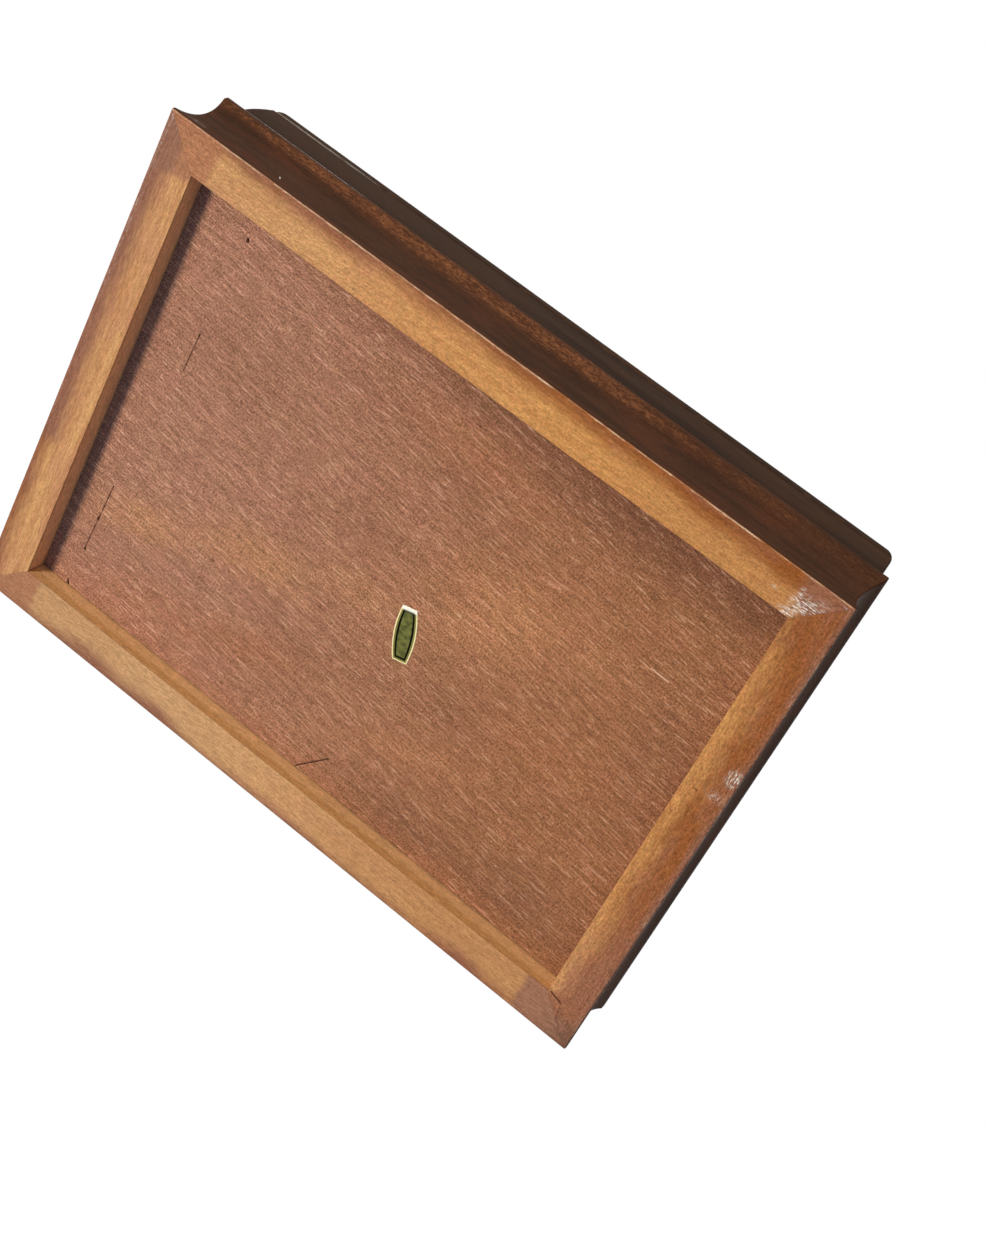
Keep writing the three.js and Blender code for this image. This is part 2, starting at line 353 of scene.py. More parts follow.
# The world is white where it is seen, reflected or looked through, and a grey fill where it lights the box.
def makeWorld():
    world = bpy.data.worlds.new("studio")
    world.use_nodes = True
    scene.world = world
    nodes = Nodes(world.node_tree)
    path = nodes.add("LightPath").outputs
    seen = nodes.calc("MAXIMUM", path["Is Camera Ray"], path["Is Glossy Ray"])
    seen = nodes.calc("MAXIMUM", seen, path["Is Transmission Ray"])
    nodes.feed(nodes.tree.nodes["Background"], {"Color": nodes.mix(seen, light["fill"], light["background"])})


def makeSuns():
    for name, (towards, share, width, tint) in light["suns"].items():
        lamp = bpy.data.lights.new(name, "SUN")
        lamp.energy = share * math.pi
        lamp.angle = math.radians(width)
        lamp.color = tint
        addObject(name, lamp).rotation_euler = Vector(towards).to_track_quat("Z", "Y").to_euler()


# A pale floor that takes the box's shadow, turns white with distance, and is clear from below, where the
# photograph was taken.
def makeFloor():
    half, drop = light["floorSize"] / 2, light["floorDrop"]
    corners = [(-half, -half, -drop), (half, -half, -drop), (half, half, -drop), (-half, half, -drop)]
    floor = makePiece("floor", corners, [(0, 1, 2, 3)], outwards=False)
    finish = bpy.data.materials.new("floorPaper")
    finish.use_nodes = True
    nodes = Nodes(finish.node_tree)
    nodes.tree.nodes.clear()
    fromAbove = nodes.calc("SUBTRACT", 1.0, nodes.add("NewGeometry").outputs["Backfacing"])
    shown = nodes.times(nodes.add("LightPath").outputs["Is Camera Ray"], fromAbove)
    paper = nodes.add("BsdfDiffuse", {"Color": colour(*light["floorColour"])}).outputs[0]
    away = nodes.add("VectorMath", {0: nodes.add("TexCoord").outputs["Object"]}, operation="LENGTH")
    far = nodes.soften(away.outputs["Value"], light["paperEnds"] * mm, light["whiteStarts"] * mm)
    white = nodes.add("Emission", {"Color": light["background"]}).outputs[0]
    paper = nodes.add("MixShader", {0: far, 1: paper, 2: white}).outputs[0]
    clear = nodes.add("BsdfTransparent").outputs[0]
    both = nodes.add("MixShader", {0: shown, 1: clear, 2: paper}).outputs[0]
    nodes.add("OutputMaterial", {"Surface": both})
    floor.data.materials.append(finish)


makeWorld()
makeSuns()
makeFloor()
print("camera, light and floor ready")


# The tray's wooden rails, and what the lid's rails share with them.

rail = {
    "sides": ["front", "right", "back", "left"],
    "mitreSeam": 0.012,
    "leanLength": 20.0,
    "grainShift": 211,
}


# The sides are 0 front, 1 right, 2 back and 3 left. The front rail lies at -Y and runs along X, and each of
# the others is turned a quarter further about the middle of the box.
def placeRail(side, along, inset, z):
    outwards = box["halfLength"] if side % 2 else box["halfWidth"]
    x, y = along, inset - outwards
    for _ in range(side):
        x, y = -y, x
    return np.stack([x, y, z], -1)


# Places along a rail: even in the middle, closer near the mitres, and a pair at each end of a pocket.
def railStations(half, spacing, steps=()):
    nearEnd = np.array([0, 0.1, 0.22, 0.4, 0.7, 1.1, 1.6, 2.2])
    middle = np.arange(-half + 3, half - 2.5, spacing)
    pairs = [step + gap for step in steps for gap in (-0.004, 0.004)]
    return np.unique(np.concatenate([nearEnd - half, middle, half - nearEnd, pairs]).round(4))


# An outline of inset and height is carried along one side. Near each end the rows lean over until the last
# one lies in the mitre, drawn in a little, so that the joint shows as a fine line.
def makeRail(name, side, outline, settings, pockets=()):
    half = box["halfWidth"] if side % 2 else box["halfLength"]
    steps = [end for pocket in pockets for end in pocket["reach"]]
    stations = railStations(half, settings["spacing"], steps)
    tangent = np.roll(outline, -1, 0) - np.roll(outline, 1, 0)
    tangent /= np.linalg.norm(tangent, axis=1)[:, None] + 1e-9
    inwards = np.stack([-tangent[:, 1], tangent[:, 0]], -1)
    fromEnd = half - np.abs(stations)
    draw = settings["mitreEase"] * (1 - smooth(0, 0.2, fromEnd))[:, None, None]
    section = outline[None] + inwards[None] * draw
    inset, z = section[..., 0], section[..., 1]
    lean = np.clip(1 - fromEnd / rail["leanLength"], 0, 1)[:, None]
    along = stations[:, None] - np.sign(stations)[:, None] * (inset + rail["mitreSeam"]) * lean
    for pocket in pockets:
        inset, z = cutPocket(pocket, stations[:, None], inset, z)
    points, faces = ringBody(placeRail(side, along, inset, z))
    along, inset, z = along.ravel(), inset.ravel(), z.ravel()
    p = {"along": along, "inset": inset, "z": z, "side": side, "fromFinish": half - inset - along}
    grain = np.stack([along + side * rail["grainShift"], inset, z], -1) * mm
    marks = {"grain": grain, "joint": half - inset - np.abs(along)}
    return makePiece(name, points, faces, marks | settings["paint"](p), outwards=False)


# As a cutter would, a pocket lowers what stands above its floor, raises what hangs below it, or pushes the
# inner face back for a slot.
def cutPocket(pocket, stations, inset, z):
    low, high = pocket["reach"]
    within = (stations > low) & (stations < high)
    for kind, edge, level in pocket["cuts"]:
        if kind == "slot":
            inset = np.where(within & (z > level), np.minimum(inset, edge), inset)
        else:
            limit = np.minimum if kind == "lower" else np.maximum
            z = np.where(within & (inset < edge), limit(z, level), z)
    return inset, z


# The tray's outline: flat rim, recess wall, groove for the panel, inner face, ledge, and the cove outside.
tray = {
    "footEase": 0.5,
    "footFace": 1.0,
    "coveDepth": 1.45,
    "covePoints": 34,
    "topFace": 1.4,
    "topInset": 0.4,
    "topEase": 0.3,
    "grooveInset": 5.8,
    "grooveTop": 8.3,
    "dadoHalf": 1.75,
    "dadoInset": 7.3,
    "dadoFloor": 8.31,
    "spacing": 0.95,
    "mitreEase": 0.045,
}


def trayOutline(extraInsets=()):
    top, wall, recess = box["trayHeight"], box["railWidth"], box["panelRecess"]
    groove, grooveTop = tray["grooveInset"], tray["grooveTop"]
    foot = np.array([0, tray["footFace"]])
    coveTop = np.array([tray["topInset"], top - tray["topFace"]])
    outline = roundedOutline([
        (0, 0, tray["footEase"], 0.3),
        (wall, 0, 0.12, 0.4),
        (wall, recess, 0.0, 1.0),
        (groove, recess, 0.0, 1.0),
        (groove, grooveTop, 0.0, 1.0),
        (wall, grooveTop, 0.0, 1.0),
        (wall, top, 0.25, 0.6),
        *[(inset, top, 0.0, 0.6) for inset in extraInsets],
        (tray["topInset"], top, tray["topEase"], 0.35),
        (*coveTop, 0.0, 60.0),
        (*foot, 0.0, 0.25),
    ])
    # between the last two corners goes the cove, a curve pulled in square to the line between them
    rise = coveTop - foot
    inwards = np.array([rise[1], -rise[0]]) / np.linalg.norm(rise)
    pull = foot + rise / 2 + inwards * 2 * tray["coveDepth"]
    cove = curve(foot, pull, coveTop, np.linspace(1, 0, tray["covePoints"])[1:-1, None])
    at = int(np.argmin(np.linalg.norm(outline - coveTop, axis=1))) + 1
    return np.concatenate([outline[:at], cove, outline[at:]])


# White scuffs under the front and right rails: middle (along, inset), widths and strength.
frontScuffs = [
    ((68.4, 5.0), (2.4, 1.7), 1.1),
    ((66.0, 8.4), (1.9, 0.9), 0.85),
    ((66.9, 7.0), (1.3, 1.2), 0.6),
    ((62.4, 5.6), (0.7, 0.5), 0.6),
    ((61.6, 4.3), (0.4, 0.3), 0.5),
    ((67.0, 2.9), (0.35, 0.7), 0.8),
    ((71.5, 3.2), (2.2, 2.0), 0.35),
    ((74.8, 0.9), (0.8, 0.5), 0.7),
    ((-73.4, 1.8), (0.9, 1.5), 0.25),
]
rightScuffs = [
    ((-15.3, 1.4), (1.8, 1.6), 1.0),
    ((-10.0, 2.4), (1.4, 2.6), 0.5),
    ((-35.5, 0.4), (3.0, 0.8), 0.3),
    ((20.0, 0.3), (5.0, 0.6), 0.3),
]


def scuffs(along, inset, places):
    return sum(strength * hill(along, inset, middle, widths) for middle, widths, strength in places)


def cornerGrime(away):
    return 0.5 * smooth(9, 3, away) + 0.45 * smooth(4.6, 0.8, away)


# What each side paints. Wash and patch are about the distance in millimetres inside the edge of the brown
# wash and of a brown patch, below 0 outside it. Rub, edge and arris are the strengths of the rubbed band, of
# the pale lower edge and of a painted highlight on the upper edge, spread is the band's width, and the others
# are shares.
def paintFront(p, along, inset, wave):
    wash = 2.1 + 0.7 * wave + 1.2 * smooth(15, 50, along) - inset
    wash += 6 * smooth(65.5, 69, along) * smooth(7.0, 4.5, inset) + 4 * smooth(2.4, 0.4, p["fromFinish"])
    return {
        "wash": wash,
        "tone": 0.45 + 0.55 * smooth(-20, 30, along) - 0.75 * smooth(64.5, 68, along),
        "khaki": 0.3 * smooth(-20, -50, along),
        "warm": 0.12 + 0.4 * smooth(-35, 20, along),
        "deep": 0.4 * smooth(20, 50, along),
        "patch": -62.8 + 0.5 * wave - along - 0.1 * inset,
        "rosy": 1.0,
        "scuff": scuffs(along, inset, frontScuffs),
        "coveScuff": 0.36 * hill(along, p["z"], (-71.5, 2.8), (2.6, 1.6)),
        "mottled": 0.7,
        "rub": (0.55 + 0.35 * smooth(-68, -50, along)) * (1 - 0.6 * smooth(12, 40, along)),
        "spread": smooth(-45, -20, along),
        "edge": 1.0,
        # painted highlight on the upper arris, stronger towards the left end
        "arris": 0.3 + 0.9 * smooth(-34, -50, along),
    }


def paintRight(p, along, inset, wave):
    wash = 0.55 * (6.6 + 0.8 * wave - inset) + 0.4 * smooth(5, 40, along)
    wash += 3 * smooth(45.5, 49, along) + 1.6 * smooth(-39, -46, along)
    return {
        "wash": wash,
        "tone": 0.8 - 0.55 * smooth(5, 42, along),
        "warm": 0.45 - 0.35 * smooth(15, 46, along),
        "patch": np.maximum(0.9 + 0.4 * wave - inset, 0.4 * (along - 51) + 0.3 * wave),
        "grime": cornerGrime(np.hypot(box["halfWidth"] - along, inset)),
        "scuff": scuffs(along, inset, rightScuffs),
        "mottled": 1.0,
        "rub": 0.25,
        "edge": 0.45 + 0.5 * smooth(-47, -43, along) * smooth(-29, -33, along),
        # painted highlight on the foot's arris in the middle of the rail
        "footArris": 2.2 * smooth(-28, -14, along) * smooth(40, 15, along),
    }


def paintBack(p, along, inset, wave):
    wash = 0.9 + 0.6 * wave - inset + 1.6 * ridge(along, -50, 7)
    wash += 2.0 * (ridge(along, 29, 6) + ridge(along, 46, 9))
    return {
        "wash": wash,
        "tone": 0.3 * smooth(0, -60, along),
        "khaki": 0.35 + 0.5 * smooth(-10, 40, along),
        "warm": 0.2 * smooth(10, -50, along),
        "deep": 0.12 + 0.36 * smooth(5, -45, along) + 0.14 * smooth(30, 45, along),
        "patch": np.maximum(-62.7 + 0.3 * wave - along, along - 63.6 + 0.3 * wave),
        "rosy": 0.7 * smooth(0, 20, along),
        "grime": cornerGrime(np.hypot(along + box["halfLength"], inset)),
        "mottled": 0.35,
        "rub": 0.35 + 0.2 * np.sin(along / 11),
    }


def paintLeft(p, along, inset, wave):
    violet = smooth(-20, -17, along)
    worn = 0.3 * hill(p["fromFinish"], inset, (0.3, 2.0), (0.5, 2.2))
    return {
        "wash": 2.4 + 0.4 * wave - inset + 1.1 * violet,
        "tone": 0.5 * (1 - violet),
        "patch": along - 44.2 + 0.3 * wave - 0.25 * inset,
        "rosy": smooth(4.0, 6.0, inset) * 0.8,
        "scuff": worn + 0.35 * smooth(0, 25, along) * ridge(inset, 0.7, 0.6),
        "rub": 0.4,
        # painted light on its inner wall, which lies in shade
        "shadeWall": 1.0,
    }


# What a side has where it paints nothing of its own.
unpainted = {
    "khaki": 0.0, "warm": 0.0, "deep": 0.0, "rosy": 0.0, "grime": 0.0, "scuff": 0.0, "coveScuff": 0.0,
    "mottled": 0.0, "footArris": 0.0, "shadeWall": 0.0, "spread": 0.5, "edge": 0.35, "arris": 0.3,
}


# All the marks of the tray's finish: the side's own, and those that follow the outline.
def paintTray(p):
    along, inset, z, side = p["along"], p["inset"], p["z"], p["side"]
    wave = 0.5 * np.sin(along / 8.5 + side) + 0.35 * np.sin(along / 3.1 + 2 * side)
    own = unpainted | [paintFront, paintRight, paintBack, paintLeft][side](p, along, inset, wave)
    onUnder = np.where(z < 0.3, 1.0, 0.0)
    onInside = (inset > 8.2) & (z < 8.4)
    onCove = (inset < 2.4) & (z > 0.9) & (z < 17.5)
    wall = np.where(onInside & (z > 0.15) & (z < 5.2), 1.0, 0.0)
    dark = np.where(z < 0.45, -0.6 - np.minimum(inset, 4), 4.0)
    dark = np.where((inset < 0.6) & (z < 0.6), (z - 0.3) * 5, dark)
    # painted highlights along the upper arris and along the foot's arris
    upperArris = hill(inset, z, (0.5, 17.45), (0.22, 0.22))
    lowerArris = hill(inset, z, (0.05, 0.4), (0.15, 0.3)) * own["footArris"]
    marks = {key: own[key] + 0 * z for key in ("wash", "tone", "warm", "khaki", "rosy", "deep")}
    return marks | {
        "dark": np.where(onInside, -4.0, dark),
        "patch": np.where(z > 0.3, -4.0, own["patch"]),
        "rub": ridge(z, 15.4 - 0.4 * own["spread"], 1.8 + 0.6 * own["spread"]) * onCove * own["rub"],
        "scuff": own["scuff"] * onUnder + own["coveScuff"] * onCove,
        "pale": hill(inset, z, (0.16, 0.08), (0.14, 0.12)) * own["edge"],
        "arris": (upperArris + lowerArris) * own["arris"],
        "wall": wall,
        # painted shade on the recess's wall next to the rim, and painted light on a wall that lies in shade
        "stripe": wall * smooth(1.6, 2.6, z + 0.15 * wave),
        "shadeWall": wall * own["shadeWall"],
        "seam": wall * smooth(4.5, 4.95, z),
        "grime": own["grime"] * onUnder,
        "mottled": own["mottled"] * onUnder,
    }


trayWood = {
    "drift": (28.0, (0, 1.4, 1.4)),
    "gloss": 0.5,
    "matt": 0.62,
    "bumps": [("grainHeight", 0.03, 0.7), ("mottle", 0.08, 0.25)],
    "shader": {"Roughness": "roughness", "Specular IOR Level": 0.004},
    "threads": ((7.0, 0.13, 0.13), 3.0, 0.6, 53.0),
    "patterns": {
        "bands": ((22, 1.3, 3.5), 3.0, 0.55, 3.1),
        "fibres": ((2.2, 0.34, 0.34), 2.0, 0.6, 7.7),
        "pores": ((1.6, 0.2, 0.2), 1.0, 0.5, 11.9),
        "blotches": ((13, 4, 4), 3.0, 0.55, 17.3),
        "mottle": ((4.5, 1.1, 1.1), 4.0, 0.66, 23.0),
        "speck": ((0.5, 0.24, 0.24), 3.0, 0.66, 29.0),
        "flakes": ((1.0, 0.45, 0.5), 4.0, 0.75, 37.0),
        "scratch": ((1.1, 0.27, 0.27), 2.0, 0.62, 41.0),
        "rubbedDark": ((1.2, 0.3, 0.3), 2.0, 0.6, 61.0),
        "grit": ((0.55, 0.4, 0.4), 3.0, 0.7, 67.0),
        "tints": ((1.4, 0.9, 0.9), 3.0, 0.65, 71.0),
    },
}
jointShade, grimeBrown, scuffWhite = (70, 42, 28), (102, 79, 64), (236, 226, 214)
trayLayers = [
    # bare wood of the underside, and the recess's wall: painted shade next to the rim, painted light on the
    # left rail
    (211, 159, 106),
    ((196, 140, 94), ("bands", 0.36, 0.64)),
    ((196, 138, 104), ("blotches", 0.48, 0.66, 0, 0.45)),
    ((200, 140, 70), "warm"),
    ((206, 164, 118), "khaki"),
    ((168, 114, 72), "deep"),
    ([(216, 160, 98), ((234, 182, 124), "stripe"), ((240, 184, 136), "shadeWall")], "wall", 0.8),
    # brown wash that bled in from the outer edge, and patches at three corners and along the right edge
    ([(150, 102, 82), ((146, 85, 42), "tone", ("blotches", 0.42, 0.62, 1.1, 0.7))],
     ("washEdge", -2.0, 2.2, 0, 0.95)),
    ([(152, 108, 87), ((178, 122, 90), "rosy")], ("patchEdge", -0.9, 0.9, 0, 0.88)),
    (grimeBrown, "grime", ("mottle", 0.3, 0.6, 0.35, 0.85)),
    # thin reddish threads that run beside the outer edge
    ((118, 68, 48), ("threads", 0.52, 0.66, 0, 0.6), ("grainInset", 2.6 * mm, 0.8 * mm)),
    # dark finish of everything that shows from outside, with a rubbed band in the upper cove
    ([
        (77, 48, 31),
        ((62, 39, 25), ("bands", 0.35, 0.66)),
        ((88, 50, 31), ("blotches", 0.45, 0.7, 0, 0.7)),
        ((95, 57, 37), ("rub", 0.05, 0.8), ("mottle", 0.3, 0.65, 0.45, 0.95)),
        ((154, 98, 60), "rubbed", 0.7),
    ], "darkness"),
    # worn edges, a painted highlight along the arrises, scuffs with a darker ground and white scratches, and
    # the mitres
    ((226, 196, 162), ("wornEdge", 0.2, 1.3, 0, 0.8), ("pale", 0.05, 0.3)),
    ((178, 170, 162), ("arrisHighlightEdge", 0.1, 0.7, 0, 0.75)),
    (grimeBrown, ("rubbedDark", 0.46, 0.6), ("scuff", 0.3, 1.0), 0.6),
    (scuffWhite, ("scratch", 0.47, 0.6, 0.05, 1), ("speck", 0.34, 0.56, 0.5, 1), ("scuff", 0.08, 0.9), 0.95),
    (jointShade, ("joint", 0.16, 0.02), 0.13),
    (jointShade, "seam", 0.55),
]
# Fibres lighten and darken, specks mottle the worn rails, and pores darken.
trayShades = [
    ("shade", ("fibres", 0.3, 0.7, 0.85, 1.14)),
    ("shade", ("speck", 0.34, 0.66, 0.84, 1.15)),
    ("shade", ("grit", 0.36, 0.64, 0.8, 1.2), "mottled"),
    ("shade", [(255, 247, 246), ((254, 255, 249), ("tints", 0.4, 0.6))], "mottled"),
    (jointShade, "poreDepth", 0.22),
]


# Cuts in the underside, in x and y, and a chip in the front cove, in x and z: start, end, half width and
# strength.
trayCuts = [
    ((67.75, 47.2), (70.62, 47.94), 0.24, 0.95),
    ((70.65, 47.95), (71.6, 52.4), 0.12, 0.4),
    ((69.25, -8.9), (70.35, -8.9), 0.16, 0.8),
]
trayChip = ((-53.9, 6.0), (-53.2, 4.8), 0.16, 0.85)


# How near a point is to a line between two ends: 1 on the line, and 0 from its half width on.
def nearLine(nodes, first, second, line):
    start, end, half, strength = line
    run = math.dist(start, end)
    c, s = (end[0] - start[0]) / run, (end[1] - start[1]) / run
    passed = -(start[0] * c + start[1] * s) - run / 2
    along = nodes.timesPlus(first, c, nodes.timesPlus(second, s, passed * mm))
    aside = start[0] * s - start[1] * c
    across = nodes.timesPlus(second, c, nodes.timesPlus(first, -s, aside * mm))
    ends = nodes.soften(nodes.calc("ABSOLUTE", along), (run / 2 + half / 2) * mm, (run / 2 - half / 2) * mm)
    sides = nodes.soften(nodes.calc("ABSOLUTE", across), half * mm, half * 0.4 * mm, 0, strength)
    return nodes.times(ends, sides)


def makeTrayFinish():
    wood = Finish("trayWood", trayWood)
    known, grain, parts = wood.known, wood.mark("grain", "Vector"), wood.split(wood.spot())
    known["threads"] = wood.clouds(grain, *trayWood["threads"])
    known["grainInset"] = wood.split(grain)["Y"]
    known["poreDepth"] = wood.value(("pores", 0.6, 0.72))

    # edges of marks, broken up by patterns
    ragged, raggedFine = wood.timesPlus("mottle", 3.4, -1.7), wood.timesPlus("speck", 2.4, -1.2)
    uneven = wood.calc("ADD", ragged, raggedFine)
    known["washEdge"] = wood.calc("ADD", "wash", uneven)
    known["patchEdge"] = wood.calc("ADD", "patch", wood.times(uneven, 0.6))
    known["darkness"] = wood.value((wood.calc("ADD", "dark", wood.times(raggedFine, 0.5)), -0.5, 0.5))
    known["wornEdge"] = wood.timesPlus("pale", 1.4, wood.timesPlus("mottle", 3.0, -1.7))
    # painted highlight along the arrises
    known["arrisHighlightEdge"] = wood.timesPlus("arris", 1.1, wood.timesPlus("speck", 1.4, -0.95))
    flaked = wood.calc("ADD", wood.timesPlus("flakes", 7.0, -4.0), wood.timesPlus("mottle", 3.0, -1.6))
    known["rubbed"] = wood.times((wood.calc("ADD", "rub", flaked), -0.4, 1.5), ("rub", 0.03, 0.7))

    # the cuts in the underside and the chip in the front cove
    onUnder, onFront = wood.value((parts["Z"], 0.3 * mm, 0.1 * mm)), (parts["Y"], -50 * mm, -53 * mm)
    cuts = [(jointShade, nearLine(wood, parts["X"], parts["Y"], line), onUnder) for line in trayCuts]
    cuts.append((scuffWhite, nearLine(wood, parts["X"], parts["Z"], trayChip), onFront))

    gloss, matt = trayWood["gloss"], trayWood["matt"]
    rough = wood.timesPlus(wood.calc("SUBTRACT", 1.0, "darkness"), matt - gloss, gloss)
    rough = wood.calc("SUBTRACT", wood.timesPlus("rubbed", 0.1, rough), 0.07)
    known["roughness"] = wood.timesPlus("fibres", 0.14, rough)
    known["grainHeight"] = wood.timesPlus("poreDepth", -0.8, "fibres")
    return wood.close(trayLayers + cuts + trayShades)


# What one hinge takes out of a back rail: the leaf's pocket and the deeper notch for the barrel. A back rail
# runs the other way round, which changes nothing for two equal hinges.
pocket = {
    "halfLength": 9.1,
    "leafInset": 7.8,
    "barrelInset": 3.4,
    "leafDeep": 0.775,
    "barrelDeep": 1.5,
    "wallGap": 0.004,
}


def hingePockets(kind, sign):
    cuts = [
        (kind, pocket["leafInset"], box["axisZ"] + sign * pocket["leafDeep"]),
        (kind, pocket["barrelInset"], box["axisZ"] + sign * pocket["barrelDeep"]),
    ]
    half = pocket["halfLength"]
    return [{"reach": (x - half, x + half), "cuts": cuts} for x in (-box["hingeX"], box["hingeX"])]


# Points of the outline on both sides of each pocket's inner wall, so that the wall stands upright.
def pocketInsets():
    gap = pocket["wallGap"]
    return [pocket[key] + off for key in ("barrelInset", "leafInset") for off in (-gap, gap)]


def makeTray():
    finish = makeTrayFinish()
    settings = dict(tray, paint=paintTray)
    half, inset = tray["dadoHalf"], tray["dadoInset"]
    dado = {"reach": (-half, half), "cuts": [("slot", inset, tray["dadoFloor"])]}
    for side, name in enumerate(rail["sides"]):
        pockets = [] if side % 2 else [dado]
        extra = [] if side % 2 else [inset]
        if side == 2:
            pockets += hingePockets("lower", -1)
            extra = sorted(extra + pocketInsets(), reverse=True)
        piece = makeRail(f"tray{name.capitalize()}Rail", side, trayOutline(extra), settings, pockets)
        useFinish(piece, finish, "tray", f"tray_{name}_rail")


makeTray()
print("tray rails made")


# The lid.

lid = {
    "setback": 2.3,
    "lean": 1.2,
    "innerInset": 8.4,
    "footRound": 0.18,
    "sidePoints": 16,
    "wallPoints": 8,
    "spacing": 1.6,
    "mitreEase": 0.06,
    "boardInset": 3.4,
    "boardRound": 5.7,
    "roundPoints": 15,
    "boardCorner": 1.5,
    "boardEase": 0.16,
    "boardRings": (14.0, 26.0),
    "cornerSteps": 8,
    "sideSteps": 25,
}


# The lid's side: upright at its foot, leaning in more and more towards the top.
def lidOutline(extraInsets=()):
    low, high = box["lidBottom"], box["lidSideTop"]
    foot, inner, ease = lid["setback"], lid["innerInset"], lid["footRound"]
    start, end = np.array([foot, low + ease]), np.array([foot + lid["lean"], high])
    t = np.linspace(1, 0, lid["sidePoints"])[:, None]
    side = curve(start, np.array([foot, (low + high) / 2]), end, t)
    flat = [[foot + ease * 0.3, low + ease * 0.3], [foot + ease, low]]
    flat += [[inset, low] for inset in extraInsets]
    flat += [[inner - ease, low], [inner - ease * 0.3, low + ease * 0.3], [inner, low + ease]]
    wall = [[inner, z] for z in np.linspace(low + ease, high, lid["wallPoints"])[1:]]
    return np.array([*side, *flat, *wall])


def paintLid(p):
    foot = hill(p["inset"], p["z"], (lid["setback"] + 0.05, box["lidBottom"] + 0.05), (0.3, 0.35))
    return {"worn": foot * 0.6, "line": 0 * foot}


lidWood = {
    "main": (64, 44, 30),
    "deep": (50, 35, 25),
    "drift": (40.0, (0, 2.6, 2.6)),
    "gloss": 0.5,
    "bumps": [("grainHeight", 0.025, 0.6), ("speck", 0.06, 0.2)],
    "shader": {"Roughness": "roughness", "Specular IOR Level": 0.004},
    "patterns": {
        "bands": ((95, 1.8, 6.0), 3.0, 0.55, 3.1),
        "fibres": ((6, 0.22, 0.22), 2.0, 0.6, 7.7),
        "pores": ((2.0, 0.12, 0.12), 1.0, 0.5, 11.9),
        "blotches": ((26, 9, 9), 3.0, 0.55, 17.3),
        "speck": ((2.4, 0.6, 0.6), 3.0, 0.6, 31.0),
        "rough": ((3.0, 2.0, 2.0), 4.0, 0.7, 31.0),
    },
}


# The dark wood of the lid and the divider: bands, blotches, wear, a painted highlight line, fibres and pores.
def makeDarkFinish(name, main, deep):
    wood = Finish(name, lidWood)
    known = wood.known
    wornEdge = wood.timesPlus("worn", 1.2, wood.timesPlus("rough", 2.2, -1.3))
    known["bare"] = wood.value((wornEdge, 0.0, 1.1, 0, 0.6))
    # a painted highlight along the edge that the mark line picks out
    known["highlightLineEdge"] = wood.timesPlus("line", 1.3, wood.timesPlus("speck", 1.2, -0.8))
    known["poreDepth"] = wood.value(("pores", 0.6, 0.72))
    known["grainHeight"] = wood.timesPlus("poreDepth", -0.9, "fibres")
    known["roughness"] = wood.timesPlus("bare", 0.14, wood.timesPlus("fibres", 0.16, lidWood["gloss"] - 0.08))
    return wood.close([
        main,
        (deep, ("bands", 0.36, 0.64)),
        ((74, 46, 29), ("blotches", 0.45, 0.72, 0, 0.6)),
        ((122, 84, 56), "bare"),
        ((158, 148, 138), ("highlightLineEdge", 0.1, 0.7, 0, 0.8)),
        ("shade", ("fibres", 0.25, 0.75, 0.84, 1.16)),
        (deep, "poreDepth", 0.45),
    ])


# One ring of the board at an inset and a height, with small rounds at the corners and divided sides, so that
# marks have points to hold on to.
def boardRing(inset, z):
    steps, corner = lid["cornerSteps"], lid["boardCorner"]
    x, y = box["halfLength"] - inset - corner, box["halfWidth"] - inset - corner
    turn = (np.arange(4)[:, None] + np.linspace(0, 1, steps + 1)).ravel() * math.pi / 2
    signX, signY = np.repeat([1, -1, -1, 1], steps + 1), np.repeat([1, 1, -1, -1], steps + 1)
    corners = np.stack([signX * x + corner * np.cos(turn), signY * y + corner * np.sin(turn)], -1)
    corners = corners.reshape(4, steps + 1, 2)
    t = np.linspace(0, 1, lid["sideSteps"] + 1)[1:-1, None]
    flat = []
    for i, arc in enumerate(corners):
        flat += [arc, arc[-1] + (corners[(i + 1) % 4, 0] - arc[-1]) * t]
    flat = np.concatenate(flat)
    return np.column_stack([flat, np.full(len(flat), z)])


# Rings from the underside of the board out to its edge, up, round in a quarter circle, and in over the top.
def makeBoard(finish):
    low, top, edge = box["lidSideTop"], box["lidTop"], lid["boardInset"]
    ease, radius = lid["boardEase"], lid["boardRound"]
    profile = [(inset, low) for inset in (*lid["boardRings"][::-1], edge + 2, edge + ease)]
    profile += [(edge + ease * 0.3, low + ease * 0.3), (edge, low + ease)]
    for turn in np.linspace(0, math.pi / 2, lid["roundPoints"]):
        profile.append((edge + radius * (1 - math.cos(turn)), top - radius * (1 - math.sin(turn))))
    profile += [(inset, top) for inset in lid["boardRings"]]
    rings = np.array([boardRing(inset, z) for inset, z in profile])
    points, faces = ringBody(rings)
    insets, heights = np.repeat(np.array(profile), rings.shape[1], 0).T
    lowEdge = hill(insets, heights, (edge, low + 0.1), (0.35, 0.3))
    rounded = hill(insets, heights, (edge + 1.4, top - 1.4), (1.8, 1.8))
    onFront = smooth(-36, -56, points[:, 0]) * smooth(-48, -51, points[:, 1])
    # line is a painted highlight along the board's lower edge at the front left
    marks = {"grain": points * mm, "worn": lowEdge * 0.4 + rounded * 0.32, "line": lowEdge * 0.6 * onFront}
    piece = makePiece("lidBoard", points, faces, marks)
    useFinish(piece, finish, "lid", "lid_board")


def makeLid():
    finish = makeDarkFinish("lidWood", lidWood["main"], lidWood["deep"])
    settings = dict(lid, paint=paintLid)
    for side, name in enumerate(rail["sides"]):
        pockets = hingePockets("raise", 1) if side == 2 else []
        extra = pocketInsets() if side == 2 else [4.0, 6.0]
        piece = makeRail(f"lid{name.capitalize()}Rail", side, lidOutline(extra), settings, pockets)
        useFinish(piece, finish, "lid", f"lid_{name}_rail")
    makeBoard(finish)


makeLid()
print("lid made")


# The bottom panel.

